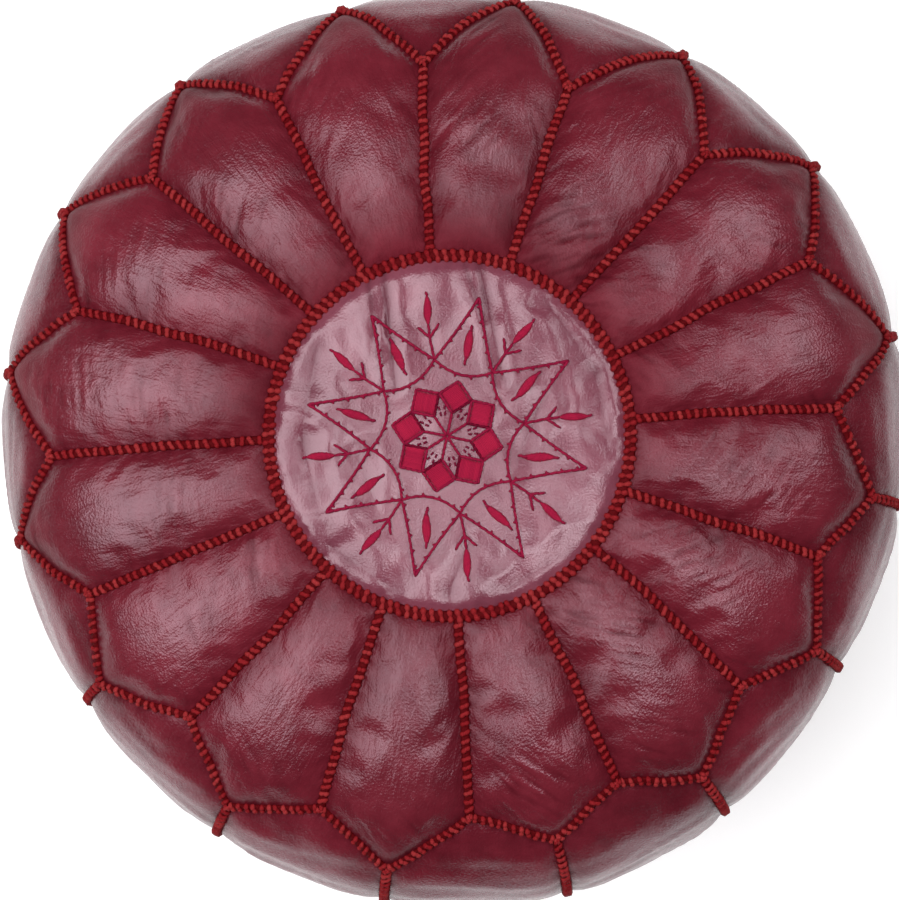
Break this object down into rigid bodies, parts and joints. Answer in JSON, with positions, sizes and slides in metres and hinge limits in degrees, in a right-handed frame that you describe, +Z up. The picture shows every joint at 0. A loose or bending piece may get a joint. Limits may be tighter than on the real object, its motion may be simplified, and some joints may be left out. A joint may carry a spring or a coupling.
{
  "type": "moroccan leather pouf",
  "caption": "Low round stuffed leather pouf with a petal-pieced crown round an embroidered medallion, laced seams and a zipped base.",
  "frame": {"origin": "middle of the flat base, on the floor under the pouf's axis", "axes": "+Z up along the pouf's axis, +X along the zip towards its closed end"},
  "size_m": [0.5256, 0.5258, 0.3225],
  "materials": {
    "hide": "polished burgundy goatskin with a soft sheen",
    "medallion_hide": "burgundy goatskin with a paler sheen",
    "lacing": "matte dark red twisted thread",
    "embroidery": "crimson silk-like thread with a slight lustre",
    "wadding": "matte off-white cotton wadding",
    "zip_tape": "matte dark woven tape",
    "zip_nylon": "satin dark nylon",
    "zip_metal": "worn antique brass"
  },
  "bodies": {
    "pouf": {"base_panel_left": "hide", "base_panel_right": "hide", "filling": "wadding", "medallion_lacing": "lacing", "medallion_panel": "medallion_hide", "petal_panel_01": "hide", "petal_panel_02": "hide", "petal_panel_03": "hide", "petal_panel_04": "hide", "petal_panel_05": "hide", "petal_panel_06": "hide", "petal_panel_07": "hide", "petal_panel_08": "hide", "petal_panel_09": "hide", "petal_panel_10": "hide", "petal_panel_11": "hide", "petal_panel_12": "hide", "petal_panel_13": "hide", "petal_panel_14": "hide", "petal_panel_15": "hide", "petal_panel_16": "hide", "petal_seam_lacing": "lacing", "rosette_embroidery": "embroidery", "side_panel_01": "hide", "side_panel_02": "hide", "side_panel_03": "hide", "side_panel_04": "hide", "side_panel_05": "hide", "side_panel_06": "hide", "side_panel_07": "hide", "side_panel_08": "hide", "side_panel_09": "hide", "side_panel_10": "hide", "side_panel_11": "hide", "side_panel_12": "hide", "side_panel_13": "hide", "side_panel_14": "hide", "side_panel_15": "hide", "side_panel_16": "hide", "side_seam_lacing": "lacing", "star_embroidery": "embroidery", "zip_bottom_stop": "zip_metal", "zip_tape_left": "zip_tape", "zip_tape_right": "zip_tape", "zip_teeth_left": "zip_nylon", "zip_teeth_right": "zip_nylon", "zip_top_stop_left": "zip_metal", "zip_top_stop_right": "zip_metal"},
    "slider": {"zip_slider": "zip_metal"},
    "pull": {"zip_pull": "zip_metal"}
  },
  "joints": [
    {"name": "zip_slide", "type": "slide", "parent": "pouf", "child": "slider", "axis": [-1, 0, 0], "range_m": [0, 0.32]},
    {"name": "pull_hinge", "type": "hinge", "parent": "slider", "child": "pull", "pos_m": [0.166, 0, 0.0045], "axis": [0, -1, 0], "range_deg": [0, 180]}
  ]
}
